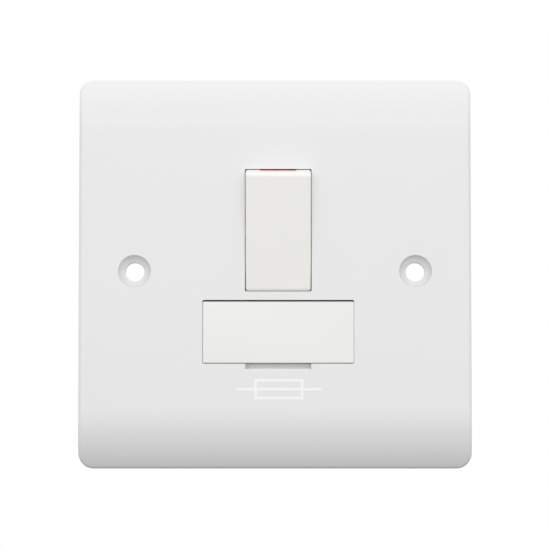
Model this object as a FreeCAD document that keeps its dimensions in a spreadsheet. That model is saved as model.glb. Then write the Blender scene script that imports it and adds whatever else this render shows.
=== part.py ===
"""Fused spur unit: a switched and fused outlet for one fixed appliance, on a square moulded plate.

The frame: the wall is the plane y = 0, the front faces -Y, +X is to the right and +Z is up.
The origin lies on the wall, midway between the two fixing screws. Lengths are in millimetres.
"""

import FreeCAD, Part
import math
import os

import Sketcher

# Driving sizes, in millimetres and degrees
DRIVING = {
    # front plate
    "plate_width": 85.0,
    "plate_height": 84.2,
    "plate_depth": 8.5,
    "plate_wall": 2.6,
    "plate_corner": 3.3,
    "plate_draft": 2.7,
    "plate_edge": 0.9,
    "roll_run": 12.8,
    "roll_lead": 2.4,
    "lead_radius": 45.0,
    "roll_radius": 15.3,
    # fixing screw holes, at the standard spacing of a wall box
    "fixing_centres": 60.3,
    "fixing_bore_radius": 2.05,
    "fixing_sink_radius": 3.5,
    "fixing_sink_lip": 0.45,
    "fixing_sink_round": 2.6,
    "fixing_depth": 4.0,
    "fixing_boss_radius": 4.8,
    "rib_thickness": 1.4,
    "rib_setback": 1.6,
    "rib_side": 17.0,
    "rib_start": 1.0,
    # openings in the plate
    "opening_shift": 0.7,
    "switch_opening_width": 14.3,
    "switch_opening_height": 26.5,
    "switch_level": 8.94,
    "fuse_opening_width": 32.5,
    "fuse_opening_height": 13.65,
    "fuse_drop": 12.98,
    "opening_corner": 0.35,
    "lip_depth": 1.2,
    "lip_relief": 0.3,
    "collar_wall": 1.4,
    "collar_depth": 1.5,
    "prise_width": 14.1,
    "prise_height": 1.05,
    "prise_depth": 2.0,
    "prise_bevel": 0.35,
    # rocker
    "rocker_side_gap": 0.13,
    "rocker_end_gap": 0.06,
    "rocker_face": 4.0,
    "rocker_back": 2.0,
    "rocker_wall": 1.4,
    "rocker_tilt": 9.0,
    "rocker_nose": 0.9,
    "rocker_side_round": 0.45,
    "pivot_depth": 2.5,
    "trunnion_radius": 1.4,
    "trunnion_clearance": 0.05,
    "trunnion_length": 2.2,
    "cheek_half_height": 3.2,
    "cheek_depth": 2.5,
    "snap_half_width": 1.15,
    "mark_width": 7.7,
    "mark_depth": 0.12,
    "mark_start": 3.2,
    # sprung plungers in the rocker
    "pole_inset": 3.02,
    "plunger_radius": 1.4,
    "plunger_clearance": 0.08,
    "plunger_reach": 8.0,
    "plunger_tail": 1.4,
    "tube_wall": 0.9,
    "tube_reach": 5.0,
    "spring_wire_radius": 0.18,
    "spring_turns": 6.0,
    "spring_end_gap": 0.05,
    # rocking contact bars
    "bar_partition_gap": 0.5,
    "bar_thickness": 1.2,
    "bar_seat": 0.3,
    "bar_arm": 9.0,
    "bar_bend": 7.0,
    "bar_gap": 0.15,
    "bead_radius": 0.6,
    "bead_clearance": 0.06,
    "tip_radius": 1.3,
    "tip_thickness": 0.75,
    "tip_place": 7.6,
    "contact_gap": 0.15,
    # brass strips and terminals
    "strip_level": 5.2,
    "strip_thickness": 1.0,
    "strip_width": 5.0,
    "terminal_width": 7.0,
    "terminal_height": 8.0,
    "terminal_skin": 0.7,
    "terminal_edge": 0.5,
    "wire_bore_radius": 2.1,
    "supply_row": 23.0,
    "load_row": 23.0,
    "supply_line_side": 16.0,
    "supply_neutral_side": 17.0,
    "load_line_side": 6.0,
    "load_neutral_side": 18.0,
    "earth_side": 15.8,
    "earth_spacing": 6.8,
    "neutral_strip_side": 20.6,
    "neutral_strip_width": 4.0,
    "load_strip_step": 1.0,
    # terminal screws
    "clamp_radius": 1.75,
    "clamp_clearance": 0.03,
    "clamp_head_radius": 2.4,
    "clamp_head_height": 1.5,
    "clamp_standoff": 0.15,
    "driver_slot": 0.8,
    "slot_overrun": 0.3,
    "cross_reach": 1.6,
    "driver_depth": 0.8,
    # rear housing
    "housing_width": 50.0,
    "housing_height": 58.0,
    "housing_rear": 16.0,
    "housing_wall": 1.6,
    "housing_corner": 2.0,
    "housing_edge": 0.7,
    "floor_thickness": 1.8,
    "access_clearance": 0.4,
    "wire_entry_clearance": 0.7,
    "partition_thickness": 2.0,
    "partition_front": 0.5,
    "shelf_gap": 0.3,
    "shelf_thickness": 1.8,
    # screws that hold the housing to the plate
    "boss_radius": 2.4,
    "boss_reach": 5.0,
    "pillar_radius": 3.9,
    "pillar_seat": 3.0,
    "tapping_radius": 1.4,
    "tapping_clearance": 0.2,
    "tapping_head_radius": 2.5,
    "tapping_head_height": 1.8,
    "tapping_grip": 6.0,
    "pilot_spare": 1.0,
    "top_screw_level": 24.8,
    "foot_screw_side": 3.0,
    "foot_screw_drop": 24.5,
    "left_screw_side": 19.0,
    "left_screw_level": 2.0,
    "right_screw_side": 14.0,
    # cartridge fuse
    "fuse_length": 25.4,
    "cap_radius": 3.175,
    "cap_length": 5.5,
    "cap_wall": 0.3,
    "cap_clearance": 0.02,
    "cap_edge": 0.25,
    "tube_bore_radius": 2.0,
    "element_radius": 0.15,
    # fuse carrier
    "carrier_side_gap": 0.1,
    "carrier_top_gap": 0.33,
    "carrier_foot_gap": 0.12,
    "carrier_face": 2.4,
    "carrier_edge": 0.2,
    "carrier_corner": 0.3,
    "carrier_travel": 12.0,
    "fuse_standoff": 0.3,
    "runner_thickness": 1.7,
    "runner_inset": 0.2,
    "runner_height": 7.0,
    "runner_catch": 1.4,
    "catch_thickness": 1.0,
    "catch_gap": 0.1,
    "jaw_half_width": 5.0,
    "jaw_wall": 1.1,
    "jaw_clearance": 0.05,
    "jaw_reach": 1.7,
    "jaw_lip": 0.4,
    "end_pad_gap": 0.1,
    # fuse clips
    "clip_width": 4.6,
    "clip_wall": 0.6,
    "clip_clearance": 0.1,
    "clip_arm": 2.2,
    "clip_flare": 0.7,
    "clip_place": 9.95,
    "clip_leg": 0.8,
    "clip_foot": 3.6,
    "rivet_radius": 0.9,
    "rivet_height": 0.4,
}

doc = FreeCAD.newDocument("fused_spur_unit")
vector = FreeCAD.Vector
sheet = doc.addObject("Spreadsheet::Sheet", "Sizes")
for row, (alias, number) in enumerate(DRIVING.items(), start=1):
    sheet.set(f"A{row}", alias)
    sheet.set(f"B{row}", str(number))
    sheet.setAlias(f"B{row}", alias)
doc.recompute()


# Sizes that carry both their number and the expression that ties them to the sheet
class Size:
    def __init__(self, text, value):
        self.text = text
        self.value = value

    def __add__(self, other):
        other = as_size(other)
        return Size(f"({self.text} + {other.text})", self.value + other.value)

    def __sub__(self, other):
        other = as_size(other)
        return Size(f"({self.text} - {other.text})", self.value - other.value)

    def __mul__(self, other):
        other = as_size(other)
        return Size(f"({self.text} * {other.text})", self.value * other.value)

    def __truediv__(self, other):
        other = as_size(other)
        return Size(f"({self.text} / {other.text})", self.value / other.value)

    def __radd__(self, other):
        return as_size(other) + self

    def __rsub__(self, other):
        return as_size(other) - self

    def __rmul__(self, other):
        return as_size(other) * self

    def __neg__(self):
        return Size(f"(0 - {self.text})", -self.value)


def as_size(number):
    return number if isinstance(number, Size) else Size(repr(number), float(number))


def root(size):
    return Size(f"sqrt({size.text})", math.sqrt(size.value))


def sine(angle):
    return Size(f"sin({angle.text} * 1deg)", math.sin(math.radians(angle.value)))


def cosine(angle):
    return Size(f"cos({angle.text} * 1deg)", math.cos(math.radians(angle.value)))


class Sheet:
    def __getattr__(self, alias):
        return Size(f"Sizes.{alias}", float(DRIVING[alias]))


S = Sheet()


def bind(thing, prop, size):
    thing.setExpression(prop, as_size(size).text)


# Sketches, each on an origin plane of its own body
def origin_plane(body, role):
    return next(plane for plane in body.Origin.OriginFeatures if plane.Role == role)


PLANE_OF_AXIS = {"X": "YZ_Plane", "Y": "XZ_Plane", "Z": "XY_Plane"}


def sketch_across(body, name, axis, level=0, across=0, up=0):
    """A sketch square to the axis, at that level along its plane's normal, with its origin shifted."""
    sketch = body.newObject("Sketcher::SketchObject", name)
    sketch.AttachmentSupport = (origin_plane(body, PLANE_OF_AXIS[axis]), [""])
    sketch.MapMode = "FlatFace"
    bind(sketch, "AttachmentOffset.Base.x", across)
    bind(sketch, "AttachmentOffset.Base.y", up)
    bind(sketch, "AttachmentOffset.Base.z", level)
    return sketch


def hold_point(sketch, edge, end, across, up):
    for kind, size in (("DistanceX", as_size(across)), ("DistanceY", as_size(up))):
        place = sketch.addConstraint(Sketcher.Constraint(kind, -1, 1, edge, end, size.value))
        sketch.setExpression(f"Constraints[{place}]", size.text)


def outline(*corners):
    """A closed outline through corners (across, up), or (across, up, radius) where an arc leads on.

    A positive radius turns left on the way to the next corner, a negative one right.
    """

    def draw(sketch):
        first = sketch.GeometryCount
        count = len(corners)
        ends = []
        for index, corner in enumerate(corners):
            following = corners[(index + 1) % count]
            start = vector(as_size(corner[0]).value, as_size(corner[1]).value, 0)
            stop = vector(as_size(following[0]).value, as_size(following[1]).value, 0)
            if len(corner) == 2:
                sketch.addGeometry(Part.LineSegment(start, stop))
                ends.append((1, 2))
                continue
            radius = as_size(corner[2])
            half = (stop - start) * 0.5
            rise = math.sqrt(max(radius.value**2 - half.Length**2, 0.0))
            left = vector(-half.y, half.x, 0).normalize()
            side = 1 if radius.value > 0 else -1
            centre = start + half + left * rise * side
            first_ray = start - centre if side > 0 else stop - centre
            last_ray = stop - centre if side > 0 else start - centre
            begin = math.atan2(first_ray.y, first_ray.x)
            finish = math.atan2(last_ray.y, last_ray.x)
            if finish < begin:
                finish += 2 * math.pi
            round_edge = Part.Circle(centre, vector(0, 0, 1), abs(radius.value))
            edge = sketch.addGeometry(Part.ArcOfCircle(round_edge, begin, finish))
            held = sketch.addConstraint(Sketcher.Constraint("Radius", edge, abs(radius.value)))
            tie = radius if radius.value > 0 else -radius
            sketch.setExpression(f"Constraints[{held}]", tie.text)
            ends.append((1, 2) if side > 0 else (2, 1))
        for index, corner in enumerate(corners):
            following = (index + 1) % count
            joined = (first + index, ends[index][1], first + following, ends[following][0])
            sketch.addConstraint(Sketcher.Constraint("Coincident", *joined))
            hold_point(sketch, first + index, ends[index][0], corner[0], corner[1])

    return draw


def rectangle(left, right, foot, top):
    return outline((left, foot), (right, foot), (right, top), (left, top))


def rounded_rectangle(left, right, foot, top, radius):
    return outline(
        (left + radius, foot),
        (right - radius, foot, radius),
        (right, foot + radius),
        (right, top - radius, radius),
        (right - radius, top),
        (left + radius, top, radius),
        (left, top - radius),
        (left, foot + radius, radius),
    )


def disc(across, up, radius):
    def draw(sketch):
        centre = vector(as_size(across).value, as_size(up).value, 0)
        edge = sketch.addGeometry(Part.Circle(centre, vector(0, 0, 1), as_size(radius).value))
        held = sketch.addConstraint(Sketcher.Constraint("Radius", edge, as_size(radius).value))
        sketch.setExpression(f"Constraints[{held}]", as_size(radius).text)
        hold_point(sketch, edge, 3, across, up)

    return draw


# Features of a body
def new_body(node):
    body = doc.addObject("PartDesign::Body", node)
    body.Label = node
    return body


def extrude(body, kind, name, axis, low, high, drawings):
    """Pads or pockets outlines from the low to the high coordinate along the axis."""
    low = as_size(low)
    high = as_size(high)
    level = -high if axis == "Y" else low
    sketch = sketch_across(body, f"{body.Name}_{name}_sketch", axis, level)
    for drawing in drawings:
        drawing(sketch)
    feature = body.newObject(kind, f"{body.Name}_{name}")
    feature.Profile = sketch
    bind(feature, "Length", high - low)
    return feature


def add(body, name, axis, low, high, *drawings):
    return extrude(body, "PartDesign::Pad", name, axis, low, high, drawings)


def cut(body, name, axis, low, high, *drawings):
    feature = extrude(body, "PartDesign::Pocket", name, axis, low, high, drawings)
    feature.Reversed = True
    return feature


def turn(body, kind, name, axis, drawing, across=0, up=0, level=0):
    """Revolves or grooves a half section about the sketch's own axis, H_Axis or V_Axis."""
    sketch = sketch_across(body, f"{body.Name}_{name}_sketch", "Z", level, across, up)
    drawing(sketch)
    feature = body.newObject(kind, f"{body.Name}_{name}")
    feature.Profile = sketch
    feature.ReferenceAxis = (sketch, [axis])
    feature.Angle = 360.0
    return feature


def edges_of(shape, wanted):
    return [f"Edge{n}" for n, edge in enumerate(shape.Edges, start=1) if wanted(edge)]


def round_edges(body, name, radius, wanted):
    doc.recompute()
    base = body.Tip
    names = edges_of(base.Shape, wanted)
    feature = body.newObject("PartDesign::Fillet", f"{body.Name}_{name}")
    feature.Base = (base, names)
    bind(feature, "Radius", radius)
    return feature


def place(thing, across, depth, up, tilt=0):
    """Puts a piece that is drawn about its own pivot at its place, turned about X."""
    thing.Placement = FreeCAD.Placement(vector(0, 0, 0), FreeCAD.Rotation(vector(1, 0, 0), 1))
    bind(thing, "Placement.Base.x", across)
    bind(thing, "Placement.Base.y", depth)
    bind(thing, "Placement.Base.z", up)
    bind(thing, "Placement.Rotation.Angle", tilt)


def near(number, size, slack=0.01):
    return abs(number - as_size(size).value) < slack


# Levels that several pieces share
front = -S.plate_depth
skin_back = front + S.plate_wall
half_width = S.plate_width / 2
half_height = S.plate_height / 2
centre_x = S.opening_shift
fuse_z = -S.fuse_drop
pivot_y = front + S.pivot_depth
pivot_z = S.switch_level
end_radius = S.switch_opening_height / 2 - S.rocker_end_gap
bar_front = S.bar_seat + S.bar_thickness
bar_y = pivot_y + S.plunger_reach + S.bar_gap + bar_front
strip_front = S.strip_level
strip_back = strip_front + S.strip_thickness
floor_front = S.housing_rear - S.floor_thickness
bore_y = strip_back + S.terminal_skin + S.wire_bore_radius
fuse_y = front + S.carrier_face + S.fuse_standoff + S.cap_radius
switch_half_width = S.switch_opening_width / 2
switch_half_height = S.switch_opening_height / 2
fuse_half_width = S.fuse_opening_width / 2
fuse_half_height = S.fuse_opening_height / 2
half_pole = switch_half_width - S.rocker_side_gap - S.pole_inset
line_x = centre_x - half_pole
neutral_x = centre_x + half_pole
half_bar = half_pole - S.partition_thickness / 2 - S.bar_partition_gap
flat_half = half_height - S.roll_run
lead_end = flat_half + S.roll_lead
lead_sine = S.roll_lead / S.lead_radius
lead_cosine = root(1 - lead_sine * lead_sine)
lead_drop = S.lead_radius * (1 - lead_cosine)
bore_radius = S.plunger_radius + S.plunger_clearance
tube_radius = bore_radius + S.tube_wall
tube_floor = -S.rocker_face + S.rocker_wall
runner_out = fuse_half_width - S.carrier_side_gap - S.runner_inset
collar_back = skin_back + S.collar_depth
catch_front = collar_back + S.carrier_travel + S.catch_gap
HOUSING_SCREWS = {
    "top": (centre_x, S.top_screw_level),
    "foot": (-S.foot_screw_side, -S.foot_screw_drop),
    "left": (-S.left_screw_side, S.left_screw_level),
    "right": (S.right_screw_side, as_size(0)),
}
TERMINALS = {
    "supply_line_terminal": (-S.supply_line_side, S.supply_row),
    "supply_neutral_terminal": (S.supply_neutral_side, S.supply_row),
    "load_line_terminal": (S.load_line_side, -S.load_row),
    "load_neutral_terminal": (S.load_neutral_side, -S.load_row),
}
EARTH_WAYS = (
    (-S.earth_side - S.earth_spacing / 2, -S.load_row),
    (-S.earth_side + S.earth_spacing / 2, -S.load_row),
)
WIRE_WAYS = tuple(TERMINALS.values()) + EARTH_WAYS


# Front plate: a moulded shell that rolls back to the wall along its top and bottom edges
CUT_SPARE = 2.0


def drop_of_roll(distance):
    """How far the skin has fallen back at that distance past the end of the lead-in arc."""
    reach = lead_sine + distance / S.roll_radius
    return lead_drop + S.roll_radius * (lead_cosine - root(1 - reach * reach))


def roll_off(side, outer, depth):
    """The region outside the roll, at the top (side 1) or the bottom (side -1) of the plate.

    A wide arc leads in from the flat face, and the roll proper carries on from its slope.
    """
    lead = depth + lead_drop
    drop = depth + drop_of_roll(outer - lead_end)
    beyond = side * (outer + CUT_SPARE)
    ahead = depth - CUT_SPARE
    return outline(
        (depth, side * flat_half, -S.lead_radius * side),
        (lead, side * lead_end, -S.roll_radius * side),
        (drop, side * outer),
        (drop, beyond),
        (ahead, beyond),
        (ahead, side * flat_half),
    )


def hollow_section(half_flat, radius, outer, depth):
    """The hollow behind the plate, seen from the side: its front follows the rolls."""
    drop = radius - root(radius * radius - (outer - half_flat) * (outer - half_flat))
    return outline(
        (as_size(0), -outer),
        (as_size(0), outer),
        (depth + drop, outer, radius),
        (depth, half_flat),
        (depth, -half_flat, radius),
        (depth + drop, -outer),
    )


def make_front_plate():
    body = new_body("front_plate")
    plan = rounded_rectangle(-half_width, half_width, -half_height, half_height, S.plate_corner)
    slab = add(body, "slab", "Y", front, 0, plan)
    bind(slab, "TaperAngle", -S.plate_draft)
    for side, name in ((1, "top_roll"), (-1, "foot_roll")):
        cut(body, name, "X", -S.plate_width, S.plate_width, roll_off(side, half_height, front))

    def on_side_edge(edge):
        box = edge.BoundBox
        return box.YMin < front.value + 0.01 and abs(box.Center.x) > half_width.value - 1

    round_edges(body, "side_round", S.plate_edge, on_side_edge)
    inner_half = half_width - S.plate_wall
    inner_top = half_height - S.plate_wall
    inner_roll = S.roll_radius - S.plate_wall
    inner_flat = lead_end - S.roll_radius * lead_sine
    hollow = hollow_section(inner_flat, inner_roll, inner_top, skin_back)
    cut(body, "hollow", "X", -inner_half, inner_half, hollow)

    # what stands on the back of the skin
    fixing_x = S.fixing_centres / 2
    boss_back = front + S.fixing_depth
    sides = (-fixing_x, fixing_x)
    root_y = front + S.plate_wall / 2
    bosses = [disc(x, 0, S.fixing_boss_radius) for x in sides]
    add(body, "fixing_bosses", "Y", root_y, boss_back, *bosses)
    half_rib = S.rib_thickness / 2
    rib_start = fixing_x + S.fixing_boss_radius - S.rib_thickness / 2
    rib_end = half_width - S.plate_wall / 2
    ribs = [
        rectangle(rib_start, rib_end, -half_rib, half_rib),
        rectangle(-rib_end, -rib_start, -half_rib, half_rib),
    ]
    add(body, "ribs", "Y", root_y, -S.rib_setback, *ribs)
    rib_near = S.housing_height / 2 + S.rib_start
    rib_far = half_height - S.plate_wall / 2
    fallen = root_y + drop_of_roll(rib_far - lead_end)
    for across, hand in ((-S.rib_side, "left"), (S.rib_side, "right")):
        for side, end in ((1, "top"), (-1, "foot")):
            brace = outline(
                (root_y, side * rib_near),
                (root_y, side * lead_end),
                (fallen, side * rib_far),
                (-S.rib_setback, side * rib_far),
                (-S.rib_setback, side * rib_near),
            )
            add(body, f"{hand}_{end}_brace", "X", across - half_rib, across + half_rib, brace)
    posts = [disc(x, z, S.boss_radius) for x, z in HOUSING_SCREWS.values()]
    add(body, "posts", "Y", root_y, S.boss_reach, *posts)
    ring = S.lip_relief + S.collar_wall
    add(
        body,
        "switch_collar",
        "Y",
        root_y,
        collar_back,
        rectangle(
            centre_x - switch_half_width - ring,
            centre_x + switch_half_width + ring,
            pivot_z - switch_half_height - ring,
            pivot_z + switch_half_height + ring,
        ),
    )
    add(
        body,
        "fuse_collar",
        "Y",
        root_y,
        collar_back,
        rectangle(
            centre_x - fuse_half_width - ring,
            centre_x + fuse_half_width + ring,
            fuse_z - fuse_half_height - ring,
            fuse_z + fuse_half_height + ring,
        ),
    )
    cheek_in = switch_half_width + S.lip_relief
    cheek_out = cheek_in + S.trunnion_length
    cheek_foot = pivot_z - S.cheek_half_height
    cheek_top = pivot_z + S.cheek_half_height
    cheeks = [
        rectangle(centre_x + cheek_in, centre_x + cheek_out, cheek_foot, cheek_top),
        rectangle(centre_x - cheek_out, centre_x - cheek_in, cheek_foot, cheek_top),
    ]
    add(body, "bearing_cheeks", "Y", root_y, skin_back + S.cheek_depth, *cheeks)

    # what is cut through it
    for name, half_w, half_h, level in (
        ("switch", switch_half_width, switch_half_height, pivot_z),
        ("fuse", fuse_half_width, fuse_half_height, fuse_z),
    ):
        left, right = centre_x - half_w, centre_x + half_w
        foot, top = level - half_h, level + half_h
        lip = rounded_rectangle(left, right, foot, top, S.opening_corner)
        cut(body, f"{name}_lip", "Y", front, skin_back, lip)
        grow = S.lip_relief
        relief = rectangle(left - grow, right + grow, foot - grow, top + grow)
        cut(body, f"{name}_relief", "Y", front + S.lip_depth, skin_back + S.cheek_depth, relief)
    bearing = S.trunnion_radius + S.trunnion_clearance
    cheek_back = skin_back + S.cheek_depth
    snap = rectangle(pivot_y, cheek_back, pivot_z - S.snap_half_width, pivot_z + S.snap_half_width)
    for side, name in ((-1, "left"), (1, "right")):
        inner = centre_x + side * switch_half_width
        outer = centre_x + side * (cheek_out + S.lip_relief)
        low, high = (inner, outer) if side > 0 else (outer, inner)
        cut(body, f"{name}_bearing", "X", low, high, disc(pivot_y, pivot_z, bearing))
        cut(body, f"{name}_snap", "X", low, high, snap)
    pilot = S.tapping_radius - S.tapping_clearance
    pilots = [disc(x, z, pilot) for x, z in HOUSING_SCREWS.values()]
    cut(body, "pilots", "Y", S.boss_reach - S.tapping_grip - S.pilot_spare, S.boss_reach, *pilots)

    # the pocket under the fuse carrier, where a screwdriver prises it out, bevelled at its sill
    sill = fuse_z - fuse_half_height
    floor = sill - S.prise_height
    pocket = outline(
        (front, floor - S.prise_bevel),
        (front + S.prise_bevel, floor),
        (front + S.prise_depth, floor),
        (front + S.prise_depth, sill),
        (front, sill),
    )
    prise_left = centre_x - S.prise_width / 2
    cut(body, "prise_pocket", "X", prise_left, prise_left + S.prise_width, pocket)

    # countersunk bores for the two fixing screws, hollowed like a bowl
    sink_back = front + S.fixing_sink_lip + S.fixing_sink_radius - S.fixing_bore_radius
    for x, name in ((-fixing_x, "left"), (fixing_x, "right")):
        section = outline(
            (as_size(0), front),
            (S.fixing_sink_radius, front),
            (S.fixing_sink_radius, front + S.fixing_sink_lip, S.fixing_sink_round),
            (S.fixing_bore_radius, sink_back),
            (S.fixing_bore_radius, boss_back),
            (as_size(0), boss_back),
        )
        turn(body, "PartDesign::Groove", f"{name}_fixing_hole", "V_Axis", section, across=x)
    return body


# Rocker: a hollow moulded key with rounded ends, two plunger tubes and a trunnion at each side
def make_switch_rocker():
    body = new_body("switch_rocker")
    half = switch_half_width - S.rocker_side_gap
    face = -S.rocker_face
    back = S.rocker_back
    face_z = root(end_radius * end_radius - S.rocker_face * S.rocker_face)
    back_z = root(end_radius * end_radius - back * back)
    side_view = outline(
        (face, -face_z, end_radius),
        (as_size(0), -end_radius, end_radius),
        (back, -back_z),
        (back, back_z, end_radius),
        (as_size(0), end_radius, end_radius),
        (face, face_z),
    )
    add(body, "key", "X", -half, half, side_view)

    def on_nose(edge):
        middle = edge.BoundBox.Center
        return near(middle.y, face) and abs(middle.z) > face_z.value - 0.01

    def on_face_side(edge):
        middle = edge.BoundBox.Center
        return abs(middle.x) > half.value - 0.01 and edge.BoundBox.YMax < 0.01

    round_edges(body, "nose_round", S.rocker_nose, on_nose)
    round_edges(body, "side_round", S.rocker_side_round, on_face_side)

    inner_radius = end_radius - S.rocker_wall
    inner_face = face + S.rocker_wall
    inner_z = root(inner_radius * inner_radius - inner_face * inner_face)
    inner_back_z = root(inner_radius * inner_radius - back * back)
    hollow = outline(
        (inner_face, -inner_z, inner_radius),
        (as_size(0), -inner_radius, inner_radius),
        (back, -inner_back_z),
        (back, inner_back_z, inner_radius),
        (as_size(0), inner_radius, inner_radius),
        (inner_face, inner_z),
    )
    cut(body, "hollow", "X", -half + S.rocker_wall, half - S.rocker_wall, hollow)
    tubes = [disc(side * half_pole, 0, tube_radius) for side in (-1, 1)]
    add(body, "tubes", "Y", face + S.rocker_wall / 2, S.tube_reach, *tubes)
    web = rectangle(-half_pole, half_pole, -S.rocker_wall / 2, S.rocker_wall / 2)
    add(body, "web", "Y", face + S.rocker_wall / 2, S.tube_reach - S.rocker_wall, web)
    bores = [disc(side * half_pole, 0, bore_radius) for side in (-1, 1)]
    cut(body, "bores", "Y", tube_floor, S.tube_reach, *bores)
    pin_end = switch_half_width + S.lip_relief + S.trunnion_length - S.trunnion_clearance
    overlap = S.rocker_wall / 2
    trunnion = disc(0, 0, S.trunnion_radius)
    add(body, "right_trunnion", "X", half - overlap, pin_end, trunnion)
    add(body, "left_trunnion", "X", -pin_end, -half + overlap, trunnion)

    # a shallow recess in each end, where the red band shows when the switch is on
    floor_radius = end_radius - S.mark_depth
    mark_y = -S.mark_start
    for side, name in ((1, "top"), (-1, "foot")):
        outer_z = side * (end_radius + CUT_SPARE)
        start_z = side * root(floor_radius * floor_radius - mark_y * mark_y)
        stop_z = side * root(floor_radius * floor_radius - back * back)
        recess = outline(
            (mark_y, start_z, -side * floor_radius),
            (as_size(0), side * floor_radius, -side * floor_radius),
            (back, stop_z),
            (back, outer_z),
            (mark_y, outer_z),
        )
        cut(body, f"{name}_mark", "X", -S.mark_width / 2, S.mark_width / 2, recess)
    place(body, centre_x, pivot_y, pivot_z, S.rocker_tilt)
    return body


# Plungers and their springs
def make_plunger(node, offset):
    body = new_body(node)
    shoulder = S.plunger_reach - S.plunger_radius
    section = outline(
        (as_size(0), S.plunger_tail),
        (S.plunger_radius, S.plunger_tail),
        (S.plunger_radius, shoulder, S.plunger_radius),
        (as_size(0), S.plunger_reach),
    )
    turn(body, "PartDesign::Revolution", "pin", "V_Axis", section, across=offset)
    place(body, centre_x, pivot_y, pivot_z, S.rocker_tilt)
    return body


def make_plunger_spring(node, offset):
    low = tube_floor + S.spring_wire_radius + S.spring_end_gap
    high = S.plunger_tail - S.spring_wire_radius - S.spring_end_gap
    mean_radius = S.plunger_radius - S.spring_wire_radius - S.plunger_clearance
    helix = doc.addObject("Part::Helix", f"{node}_path")
    bind(helix, "Height", high - low)
    bind(helix, "Pitch", (high - low) / S.spring_turns)
    bind(helix, "Radius", mean_radius)
    # eight sides stand for the round wire, because a coil repeats its facets at every turn
    wire = doc.addObject("Part::RegularPolygon", f"{node}_wire")
    wire.Polygon = 8
    bind(wire, "Circumradius", S.spring_wire_radius)
    wire.Placement = FreeCAD.Placement(vector(0, 0, 0), FreeCAD.Rotation(vector(1, 0, 0), 90))
    bind(wire, "Placement.Base.x", mean_radius)
    sweep = doc.addObject("Part::Sweep", node)
    sweep.Label = node
    sweep.Sections = [wire]
    sweep.Spine = helix
    sweep.Solid = True
    sweep.Frenet = True
    # the coil is drawn along +Z, and a quarter turn less the tilt lays it along the plunger
    lift = low * sine(S.rocker_tilt)
    place(sweep, centre_x + offset, pivot_y + low * cosine(S.rocker_tilt), pivot_z + lift)
    bind(sweep, "Placement.Rotation.Angle", S.rocker_tilt - 90)
    return sweep


# Contact bars that rock on the fulcrums, drawn about the fulcrum bead
def make_contact_bar(node, across):
    body = new_body(node)
    end_z = S.bar_arm
    lean = S.bar_arm * sine(S.bar_bend) / cosine(S.bar_bend)
    notch = S.bead_radius + S.bead_clearance
    seat = S.bar_seat * cosine(S.bar_bend)
    reach = root(notch * notch - seat * seat)
    notch_y = -seat * cosine(S.bar_bend) - reach * sine(S.bar_bend)
    notch_z = reach * cosine(S.bar_bend) - seat * sine(S.bar_bend)
    section = outline(
        (-bar_front, as_size(0)),
        (-bar_front - lean, end_z),
        (-S.bar_seat - lean, end_z),
        (notch_y, notch_z, notch),
        (-notch, as_size(0), notch),
        (notch_y, -notch_z),
        (-S.bar_seat - lean, -end_z),
        (-bar_front - lean, -end_z),
    )
    add(body, "bar", "X", -half_bar, half_bar, section)

    def on_corner(edge):
        middle = edge.BoundBox.Center
        long_enough = edge.Length > S.bar_thickness.value * 0.9
        at_end = abs(middle.z) > end_z.value - 0.01
        return long_enough and at_end and abs(middle.x) > half_bar.value - 0.01

    round_edges(body, "end_round", S.bar_thickness / 2, on_corner)
    place(body, across, bar_y, pivot_z, -S.rocker_tilt)
    return body


def make_moving_tip(node, across):
    """The silver button on the back of the bar's upper arm."""
    tip = doc.addObject("Part::Cylinder", node)
    tip.Label = node
    bind(tip, "Radius", S.tip_radius)
    bind(tip, "Height", S.tip_thickness)
    net = S.rocker_tilt - S.bar_bend
    back = -S.bar_seat * cosine(S.bar_bend)
    depth = bar_y + back * cosine(net) + S.tip_place * sine(net)
    height = pivot_z + S.tip_place * cosine(net) - back * sine(net)
    place(tip, across, depth, height, -90 - net)
    return tip


net_tilt = S.rocker_tilt - S.bar_bend
tip_level = pivot_z + S.tip_place * cosine(net_tilt)
tip_far = (S.tip_place + S.tip_radius) * sine(net_tilt)
fixed_tip_front = bar_y + S.tip_thickness - S.bar_seat + tip_far + S.contact_gap


def make_fixed_tips():
    tips = []
    for name, across in (("line", line_x), ("neutral", neutral_x)):
        tip = doc.addObject("Part::Cylinder", f"{name}_fixed_tip")
        bind(tip, "Radius", S.tip_radius)
        bind(tip, "Height", strip_front - fixed_tip_front)
        place(tip, across, strip_front, tip_level, 90)
        tips.append(tip)
    group = doc.addObject("Part::Compound", "fixed_contact_tips")
    group.Label = "fixed_contact_tips"
    group.Links = tips
    return group


# Brass strips: the fulcrums that the bars rock on, and the supply contacts
def add_fulcrum_post(body, across):
    half_post = S.bead_radius
    section = outline(
        (strip_front, pivot_z - half_post),
        (strip_front, pivot_z + half_post),
        (bar_y, pivot_z + half_post, S.bead_radius),
        (bar_y - S.bead_radius, pivot_z, S.bead_radius),
        (bar_y, pivot_z - half_post),
    )
    add(body, "post", "X", across - half_bar, across + half_bar, section)


def make_line_fulcrum():
    body = new_body("line_fulcrum")
    half = S.strip_width / 2
    clip_x = centre_x - S.clip_place
    left = clip_x - half
    track = outline(
        (line_x + half_bar, pivot_z - half),
        (line_x + half_bar, pivot_z + half),
        (left, pivot_z + half),
        (left, fuse_z - half),
        (clip_x + half, fuse_z - half),
        (clip_x + half, pivot_z - half),
    )
    add(body, "strip", "Y", strip_front, strip_back, track)
    add_fulcrum_post(body, line_x)
    return body


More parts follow.
